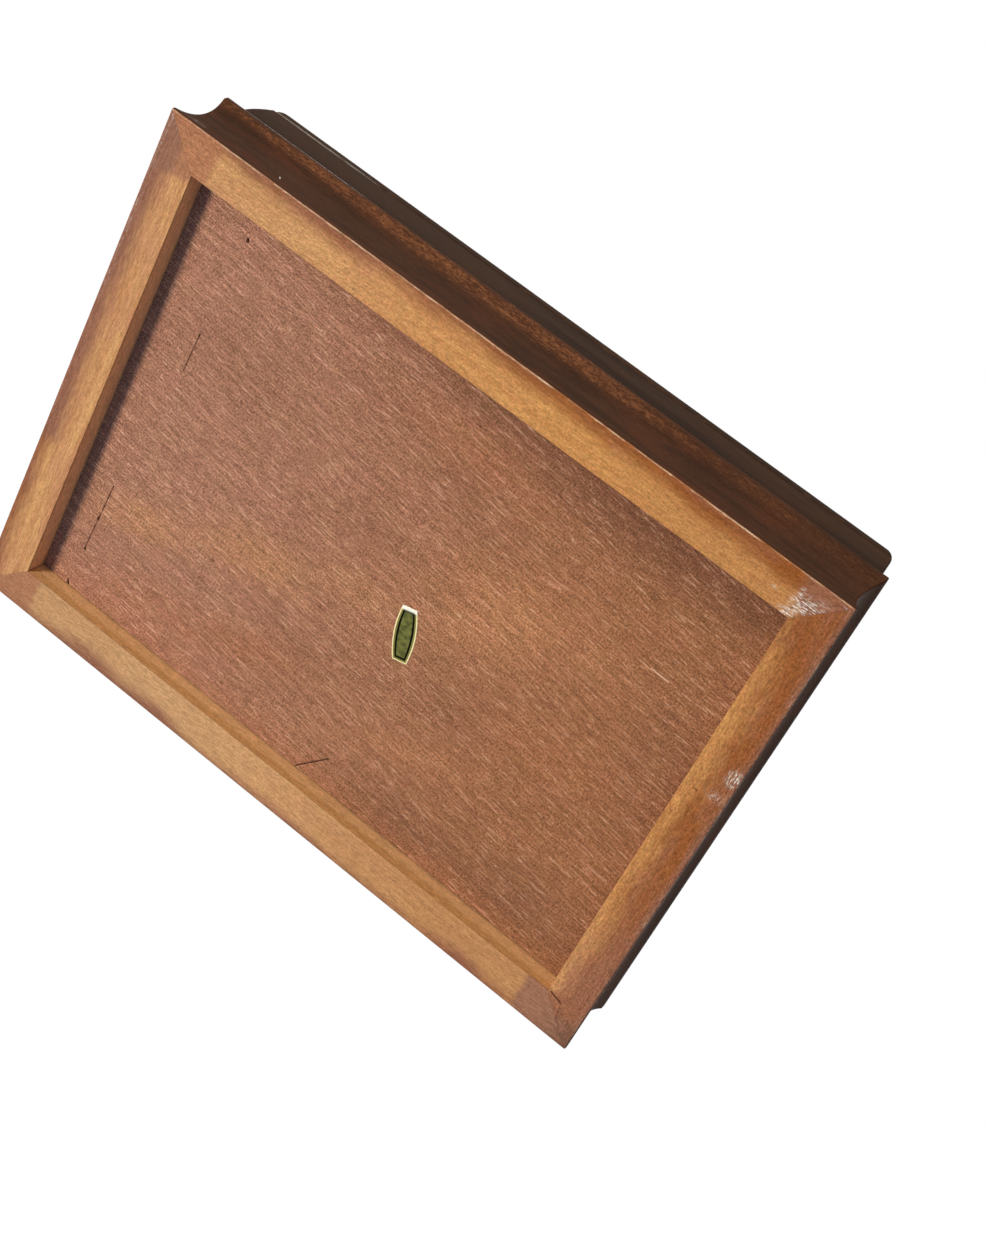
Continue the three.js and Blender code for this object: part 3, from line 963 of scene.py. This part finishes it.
panel = {
    "halfX": 69.9,
    "halfY": 50.25,
    "spacing": 2.4,
    "fineSpacing": 0.14,
    "longSpacing": 0.7,
    "leastSpacing": 0.06,
    "grainTurn": 6.5,
    "scrape": ((50.8, -20.13), (54.9, -20.05), 0.22, 0.7),
    # a cut or a nick: start, end, half width and depth
    "cuts": [
        ((-55.56, -18.9), (-55.75, -9.6), 0.12, 0.20),
        ((-59.6, 21.4), (-60.1, 38.2), 0.16, 0.20),
        ((0.5, 47.4), (5.8, 41.1), 0.17, 0.35),
        ((-54.35, -41.2), (-54.2, -40.6), 0.27, 0.60),
        ((-55.56, -18.6), (-55.56, -18.3), 0.20, 0.35),
        ((-60.0, 29.9), (-60.0, 30.2), 0.20, 0.35),
        ((-60.0, 37.7), (-60.0, 38.1), 0.20, 0.35),
        ((-60.8, 46.9), (-60.4, 47.6), 0.28, 0.35),
    ],
}


# Grid lines across the panel: wide steps, and fine ones wherever a cut passes.
def panelLines(half, axis):
    fine = panel["fineSpacing"]
    lines = [np.arange(-half, half + 0.01, 2 * half / round(2 * half / panel["spacing"]))]
    for start, end, width, _ in panel["cuts"]:
        low, high = sorted((start[axis], end[axis]))
        along = fine if high - low < 8 else panel["longSpacing"]
        lines.append(np.arange(low - 3 * width, high + 3 * width, along))
        lines += [np.arange(limit - 3 * width, limit + 3 * width, fine) for limit in (low, high)]
    kept = [-half]
    for line in np.unique(np.concatenate(lines).round(2)):
        if panel["leastSpacing"] < line - kept[-1] and line < half - panel["leastSpacing"]:
            kept.append(line)
    return np.array(kept + [half])


# Distance of every point from a line between two ends, and how far along the line it is.
def fromSegment(x, y, start, end):
    dx, dy = end[0] - start[0], end[1] - start[1]
    t = np.clip(((x - start[0]) * dx + (y - start[1]) * dy) / (dx * dx + dy * dy), 0, 1)
    return np.hypot(x - start[0] - t * dx, y - start[1] - t * dy), t


# Slow patches of colour on the panel: middle x and y, half length, half width, turn and strength.
panelPatches = {
    "golden": [
        (-50, 23.5, 13, 3.6, -22, 1.0),
        (-27, 14.0, 15, 4.2, -14, 1.0),
        (-4, 5.5, 14, 3.4, -18, 0.7),
        (22, -8.0, 16, 7.5, -32, 0.8),
        (38, -14.0, 14, 3.5, -10, 0.4),
        (21, 27.0, 17, 3.0, -24, 0.4),
    ],
    "ember": [
        (-40, 39.0, 20, 5.0, -12, 0.55),
        (-22, 33.0, 16, 4.0, -18, 0.6),
        (21, 27.0, 19, 3.0, -24, 0.4),
        (24, -12.0, 18, 9.0, -30, 0.5),
        (6, -34.0, 20, 6.0, 0, 0.5),
        (45, 8.0, 20, 5.0, -15, 0.4),
    ],
    "dusk": [
        (24, 42.0, 16, 5.0, -8, 0.8),
        (52, 40.0, 16, 7.0, -10, 1.0),
        (-12, -8.0, 12, 4.5, -20, 0.35),
        (18, 15.0, 13, 4.0, -15, 0.6),
        (-42, -20.0, 14, 7.0, 0, 0.5),
        (-14, -32.0, 12, 6.0, 0, 0.5),
        (62, -4.0, 9, 18.0, 0, 0.7),
        (-8, 24.0, 12, 4.0, -18, 0.35),
        (2, -27.0, 12, 5.0, 0, 0.6),
    ],
}


def panelPatch(x, y, kind):
    total = np.zeros_like(x)
    for middleX, middleY, length, width, turn, strength in panelPatches[kind]:
        u, v = turned(x - middleX, y - middleY, -turn)
        total = np.maximum(total, strength * hill(u, v, (0, 0), (length * 1.15, width * 1.35)))
    return total


# The underside is a grid that dips where a cut is. A wall goes up from its border, and one face closes it.
def makePanel():
    y, x = np.meshgrid(panelLines(panel["halfY"], 1), panelLines(panel["halfX"], 0), indexing="ij")
    z = np.full_like(x, box["panelRecess"])
    cut = np.zeros_like(x)
    for start, end, width, depth in panel["cuts"]:
        away, t = fromSegment(x, y, start, end)
        unsteady = 1 - 0.35 * np.sin(t * 19 + start[0]) ** 2
        dip = smooth(width * 1.25, width * 0.35, away) * unsteady
        z = np.maximum(z, box["panelRecess"] + depth * dip)
        cut = np.maximum(cut, dip * min(1.0, 0.3 + 1.8 * depth))
    points, faces = gridBody(x, y, z, [(1, box["panelTop"])])
    along, across = turned(points[:, 0], points[:, 1], -panel["grainTurn"])
    marks = {kind: panelPatch(points[:, 0], points[:, 1], kind) for kind in panelPatches}
    marks["grain"] = np.stack([along, across, points[:, 2]], -1) * mm
    marks["cut"] = np.concatenate([cut.ravel(), np.zeros(len(points) - cut.size)])
    return makePiece("bottomPanel", points, faces, marks)


plywood = {
    "drift": (1000 / 45, (0, 1.6, 0)),
    "ragged": ((16, 6, 6), 3.0, 0.6, 2.0),
    "matt": 0.62,
    "bumps": [("grainHeight", 0.05, 0.8)],
    "shader": {"Roughness": "roughness", "Specular IOR Level": 0.06},
    "patterns": {
        "patches": ((11, 4.0, 9), 5.0, 0.62, 13.0),
        "tints": ((6.0, 2.2, 2.2), 3.0, 0.6, 19.0),
        "streaks": ((3.0, 0.3, 0.3), 4.0, 0.66, 31.0),
        "flecks": ((1.9, 0.3, 0.3), 3.0, 0.6, 43.0),
        "fine": ((0.4, 0.27, 0.27), 3.0, 0.7, 47.0),
        "bands": ((28, 1.1, 1.1), 2.0, 0.5, 59.0),
    },
}
streakPink = (230, 188, 156)
panelLayers = [
    # paler and pinker at the left and browner at the right as a painted falloff of light, with slow dusky,
    # reddish and golden patches
    (170, 122, 99),
    ((157, 106, 73), "across"),
    ((132, 91, 68), ("duskEdge", -0.05, 1.1, 0, 0.6)),
    ((174, 108, 70), ("emberEdge", -0.05, 1.1, 0, 0.5)),
    ((194, 140, 98), ("goldenEdge", -0.05, 1.1, 0, 0.5)),
    # painted shade by the front and right rails, and a cool grey painted shadow by the left one
    ((104, 68, 52), "wallShade"),
    ((126, 114, 118), ("fromLeft", 3.4 * mm, 1.6 * mm, 0, 0.45)),
    # tints, pale streaks and dark flecks along the grain, a scrape, and the cuts
    ("shade", [(255, 250, 250), ((252, 252, 245), ("tints", 0.38, 0.62))]),
    ("shade", ("streaks", 0.36, 0.64, 0.8, 1.18)),
    ("shade", ("fine", 0.34, 0.66, 0.46, 1.5)),
    ("shade", ("bands", 0.34, 0.66, 0.94, 1.06)),
    (streakPink, ("streaks", 0.575, 0.69), ("across", 0.1, 1.0, 0.65, 0.5)),
    (streakPink, "scrape"),
    ((92, 56, 42), "fleckDepth", 0.85),
    ((70, 43, 34), ("cut", 0.1, 0.75)),
]


# The painted shade along the front rail reaches further and is darker towards the right front corner, and a
# narrower one lies along the right rail.
def wallShade(ply, x, y, ragged):
    fromFront = ply.timesPlus(ragged, -8 * mm, ply.calc("ADD", y, 50.5 * mm))
    fromRight = ply.timesPlus(ragged, -7 * mm, ply.calc("SUBTRACT", 70 * mm, x))
    share = ply.calc("DIVIDE", fromFront, (x, -60 * mm, 66 * mm, 6 * mm, 19 * mm))
    frontShade = ply.times((share, 1.1, -0.2), (x, -75 * mm, 50 * mm, 0.3, 0.85))
    return ply.calc("MAXIMUM", frontShade, (fromRight, 7 * mm, -3 * mm, 0, 0.35))


def makePanelFinish():
    ply = Finish("bottomPlywood", plywood)
    known, spot = ply.known, ply.spot()
    x, y, _ = ply.split(spot)
    # across runs from left to right and carries a painted falloff of light
    known["across"] = ply.value((x, -60 * mm, 62 * mm))
    known["wallShade"] = wallShade(ply, x, y, ply.clouds(spot, *plywood["ragged"]))
    # fromLeft is the distance from the left wall, where a cool painted shadow lies
    known["fromLeft"] = ply.calc("ADD", x, 67.2 * mm)
    known["scrape"] = nearLine(ply, x, y, panel["scrape"])
    known["fleckDepth"] = ply.value(("flecks", 0.4, 0.28))
    uneven = ply.timesPlus("patches", 1.8, 0.1)
    for kind in panelPatches:
        known[kind + "Edge"] = ply.times(kind, uneven)
    known["roughness"] = ply.timesPlus("streaks", -0.16, plywood["matt"] + 0.08)
    known["grainHeight"] = ply.timesPlus("fleckDepth", -0.5, "streaks")
    return ply.close(panelLayers)


useFinish(makePanel(), makePanelFinish(), "tray", "bottom_panel")
print("bottom panel made")


# The label.

label = {
    "length": 11.6,
    "endWidth": 3.1,
    "middleWidth": 4.8,
    "sidePoints": 33,
    "endPoints": 7,
    "thickness": 0.12,
    "place": (7.6, 6.7),
    "turn": -15.0,
    "raised": 0.035,
    "rings": (0, 0.06, 0.14, 0.24, 0.32, 0.55, 0.66, 0.88, 1.0, 1.35),
}


# The outline is a barrel with straight ends and sides that bow out. Its rings shrink towards the middle, and
# marks hold the distance from the edge and the place along the label.
def makeLabel():
    half, end, middle = label["length"] / 2, label["endWidth"] / 2, label["middleWidth"] / 2
    t = np.linspace(0, 1, label["sidePoints"])
    width = curve(end, 2 * middle - end, end, t)
    v = half * (2 * t - 1)
    across = np.linspace(-1, 1, label["endPoints"] + 2)[1:-1] * end
    ends = np.full_like(across, half)
    u = np.concatenate([width, -across, -width[::-1], across])
    v = np.concatenate([v, ends, v[::-1], -ends])
    # the first ring is the back, and the second, of the same size, is the edge of the face
    away = np.repeat(np.array([0, *label["rings"]])[:, None], len(u), 1)
    u = u * (1 - away / middle)
    v = v * (1 - away / half)
    rise = smooth(0, 0.12, away) - 0.8 * smooth(0.55, 0.66, away) + 0.5 * smooth(0.9, 1.0, away)
    z = box["panelRecess"] - label["thickness"] + label["raised"] * (1 - rise)
    z[0] = box["panelRecess"]
    x, y = turned(u, v, label["turn"])
    points, faces = ringBody(np.stack([x + label["place"][0], y + label["place"][1], z], -1))
    return makePiece("foilLabel", points, faces, {"away": away.ravel(), "fromEnd": (v + half).ravel()})


foil = {
    "patterns": {"worn": ((1.2, 0.9, 1.0), 4.0, 0.6, 3.0), "fine": ((0.3, 0.3, 0.3), 2.0, 0.6, 8.0)},
    "bumps": [("fine", 0.02, 0.5)],
    "shader": {"Metallic": 0.3, "Roughness": ("worn", 0.3, 0.7, 0.28, 0.45), "Specular IOR Level": 0.04},
}
fieldGreen = (116, 116, 62)
labelLayers = [
    # from the middle out: the field, a dark line, a border, the pale edge, and a paler band at one end
    fieldGreen,
    ((84, 86, 46), ("worn", 0.38, 0.62)),
    ((8, 9, 5), ("away", 1.1, 1.02)),
    ([(132, 126, 64), (fieldGreen, ("worn", 0.4, 0.7, 0, 0.5))], ("away", 0.64, 0.58)),
    ((244, 230, 176), ("away", 0.3, 0.23)),
    ((250, 246, 228), ("fromEnd", 1.0, 0.5), ("fine", 0.2, 0.5, 0.7, 1.0)),
    ("shade", ("fine", 0.25, 0.75, 0.85, 1.12)),
]
labelFinish = Finish("foilLabel", foil).close(labelLayers)
useFinish(makeLabel(), labelFinish, "tray", "foil_label")
print("label made")


# Inside: divider and felts.

inside = {
    "dividerHalf": 1.6,
    "dividerEnd": 48.9,
    "dividerTop": 17.0,
    "dividerRows": 41,
    "grainShift": 400,
    "feltThickness": 1.0,
    "feltRoom": 0.4,
    "feltRound": 0.45,
    "feltRings": (0, 0.05, 0.15, 0.3, 0.5, 0.9, 1.6),
    "feltMargins": (2.5, 3.0),
    "feltLines": (44, 60),
    "feltSink": 0.06,
}


# The divider's upright outline with a rounded top, carried from front to back.
def makeDivider(finish):
    half, low, top = inside["dividerHalf"], box["panelTop"], inside["dividerTop"]
    corners = [(-half, low, 0, 2), (-half, top, 1.0, 0.4), (half, top, 1.0, 2), (half, low, 0, 2)]
    outline = roundedOutline(corners, 6)
    stations = np.linspace(-inside["dividerEnd"], inside["dividerEnd"], inside["dividerRows"])[:, None]
    points, faces = ringBody(np.stack(np.broadcast_arrays(outline[:, 0], stations, outline[:, 1]), -1))
    x, y, z = points.T
    crest = hill(z, x, (top, 0), (0.8, 1.8)) * 0.5
    marks = {"grain": np.stack([y, x + inside["grainShift"], z], -1) * mm, "worn": crest, "line": crest * 0}
    useFinish(makePiece("cardDivider", points, faces, marks), finish, "tray", "divider")


# A felt is a sheet. Its top is a grid with soft edges that rises and falls a little, and its back is flat.
def makeFelt(name, side, finish, node):
    inner = inside["dividerHalf"] + inside["feltRoom"]
    outer = box["halfLength"] - box["railWidth"] - inside["feltRoom"]
    reach = box["halfWidth"] - box["railWidth"] - inside["feltRoom"]
    edge = np.array(inside["feltRings"])
    limits, lines = ((inner, outer), (-reach, reach)), []
    for (low, high), margin, count in zip(limits, inside["feltMargins"], inside["feltLines"]):
        middle = np.linspace(low + margin, high - margin, count)
        lines.append(np.concatenate([low + edge, middle, (high - edge)[::-1]]))
    y, x = np.meshgrid(lines[1], lines[0], indexing="ij")
    fromEdge = np.minimum(np.minimum(x - inner, outer - x), reach - np.abs(y))
    ripple = 0.03 * np.sin(x * 0.55 + side) * np.sin(y * 0.41 + 2 * side) + 0.02 * np.sin(x * 1.3 - y * 0.9)
    rounding = np.sqrt(1 - (1 - np.clip(fromEdge / 0.5, 0, 1)) ** 2)
    z = box["panelTop"] + inside["feltThickness"] - inside["feltSink"] - inside["feltRound"] * (1 - rounding)
    z += ripple * smooth(0, 2, fromEdge)
    piece = makePiece(name, *gridBody(x * side, y, z, [(1, box["panelTop"])]))
    useFinish(piece, finish, "tray", node)


greenFelt = {
    "patterns": {
        "matted": ((3.0, 3.0, 3.0), 6.0, 0.78, 1.0),
        "oneWay": ((0.9, 0.12, 0.2), 3.0, 0.6, 5.0),
        "otherWay": ((0.12, 0.9, 0.2), 3.0, 0.6, 9.0),
    },
    "bumps": [("fibres", 0.1, 0.9), ("matted", 0.2, 0.5)],
    "shader": {"Roughness": 0.95, "Specular IOR Level": 0.1, "Sheen Weight": 0.3, "Sheen Roughness": 0.5},
}
feltLayers = [
    (54, 98, 70),
    ((36, 74, 52), ("matted", 0.25, 0.75)),
    ((76, 120, 90), ("fibres", 0.58, 0.75, 0, 0.6)),
]


def makeFelts():
    finish = Finish("greenFelt", greenFelt)
    finish.known["fibres"] = finish.calc("MAXIMUM", "oneWay", "otherWay")
    finish = finish.close(feltLayers)
    makeFelt("leftFelt", -1, finish, "left_felt")
    makeFelt("rightFelt", 1, finish, "right_felt")


makeDivider(makeDarkFinish("dividerWood", (86, 62, 48), (58, 43, 35)))
makeFelts()
print("divider and felts made")


# The hinges and their screws.

hinge = {
    "bevel": 0.07,
    "sharpAngle": 32,
    "bevelAngle": 40,
    "screwX": 5.0,
    "screwY": 50.55,
    "headRadius": 1.35,
    "rimHeight": 0.34,
    "headHeight": 0.6,
    "shankRadius": 0.7,
    "shankLength": 3.6,
    "tipScale": 0.12,
    "screwLength": 5.0,
    "slotHalf": 0.17,
    "slotDepth": 0.26,
    "rimDepth": 0.03,
    "headLines": 9,
    "linePoints": 11,
    "screwTurns": (24, 71, -38, 8, 55, -16, 82, -64),
}

brass = {
    "patterns": {
        "tarnish": ((3.4, 3.4, 3.4), 3.0, 0.55, 0.0),
        "spots": ((0.5, 0.5, 0.5), 3.0, 0.6, 4.0),
        "brushed": ((3.0, 0.07, 0.07), 2.0, 0.6, 9.0),
    },
    "gloss": 0.3,
    "bumps": [("brushed", 0.008, 0.5)],
    "shader": {"Metallic": 1.0, "Roughness": "roughness"},
}


def makeBrassFinish(name, seed, bright, dull):
    metal = Finish(name, brass, seed)
    tarnished = metal.timesPlus("tarnish", 0.3, brass["gloss"] - 0.12)
    metal.known["roughness"] = metal.timesPlus("brushed", 0.1, tarnished)
    return metal.close([
        bright,
        (dull, ("tarnish", 0.4, 0.66)),
        ((92, 66, 38), ("spots", 0.66, 0.82, 0, 0.5)),
        # painted shade in the screws' slots and round their heads
        ((38, 27, 17), "headShade"),
    ])


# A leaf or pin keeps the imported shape, with its corners eased.
def easedCopy(node, name, finish, body):
    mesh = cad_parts[node].data.copy()
    mesh.name = name
    cleanUp(mesh)
    shadeSmooth(mesh, hinge["sharpAngle"])
    piece = addObject(name, mesh)
    bevel = piece.modifiers.new("easedCorners", "BEVEL")
    bevel.width = hinge["bevel"] * mm
    bevel.segments = 2
    bevel.limit_method = "ANGLE"
    bevel.angle_limit = math.radians(hinge["bevelAngle"])
    bevel.harden_normals = False
    useFinish(piece, finish, body, node)


# A countersunk screw. Its face is a disc of straight lines across, so that the slot's sides are straight, and
# rings of the same rim go down the cone and the shank.
def makeScrew(name, x, level, turn, finish, body, node):
    radius, shank = hinge["headRadius"], hinge["shankRadius"] / hinge["headRadius"]
    slot, depth = hinge["slotHalf"], hinge["slotDepth"]
    outer = np.sin(np.linspace(0, math.pi / 2, hinge["headLines"])[1:]) * radius * 0.9995
    outer = outer[outer > slot + 0.05]
    lines = np.concatenate([-outer[::-1], [-slot - 0.02, -slot, slot, slot + 0.02], outer])
    share = np.sin(np.linspace(-math.pi / 2, math.pi / 2, hinge["linePoints"]))
    u = np.repeat(lines[:, None], len(share), 1)
    v = np.sqrt(radius ** 2 - lines ** 2)[:, None] * share
    fromMiddle = np.hypot(u, v) / radius
    down = np.where(np.abs(u) <= slot, depth, hinge["rimDepth"] * smooth(0.85, 1.0, fromMiddle))
    steps = [(1.0, hinge["rimHeight"]), (shank, hinge["headHeight"]), (shank, hinge["shankLength"])]
    points, faces = gridBody(u, v, down, steps + [(hinge["tipScale"], hinge["screwLength"])])
    px, py = turned(points[:, 0], points[:, 1], turn)
    face = box["trayHeight"] if level < 0 else box["lidBottom"]
    # painted shade in the slot and round the rim of the head
    headShade = np.ones(len(points))
    headShade[:u.size] = np.maximum(np.abs(u) <= slot + 0.01, smooth(0.9, 1.0, fromMiddle)).ravel()
    points = np.stack([px + x, py + hinge["screwY"], face + level * points[:, 2]], -1)
    piece = makePiece(name, points, faces, {"headShade": headShade * 0.9}, sharpAngle=30)
    useFinish(piece, finish, body, node)


def makeHinges():
    hingeBrass = makeBrassFinish("hingeBrass", 2.0, (206, 166, 92), (150, 112, 58))
    screwBrass = makeBrassFinish("screwBrass", 21.0, (222, 190, 128), (182, 146, 92))
    turns = iter(hinge["screwTurns"])
    for side, x in (("left", -box["hingeX"]), ("right", box["hingeX"])):
        start = side + "Hinge"
        easedCopy(f"{side}_hinge_tray_leaf", start + "TrayLeaf", hingeBrass, "tray")
        easedCopy(f"{side}_hinge_lid_leaf", start + "LidLeaf", hingeBrass, "lid")
        easedCopy(f"{side}_hinge_pin", start + "Pin", hingeBrass, "tray")
        for number, end in ((1, -1), (2, 1)):
            at = x + end * hinge["screwX"]
            for level, body in ((-1, "tray"), (1, "lid")):
                name = f"{start}{body.capitalize()}Screw{number}"
                node = f"{side}_hinge_{body}_screw_{number}"
                makeScrew(name, at, level, next(turns), screwBrass, body, node)


makeHinges()
print("hinges made")
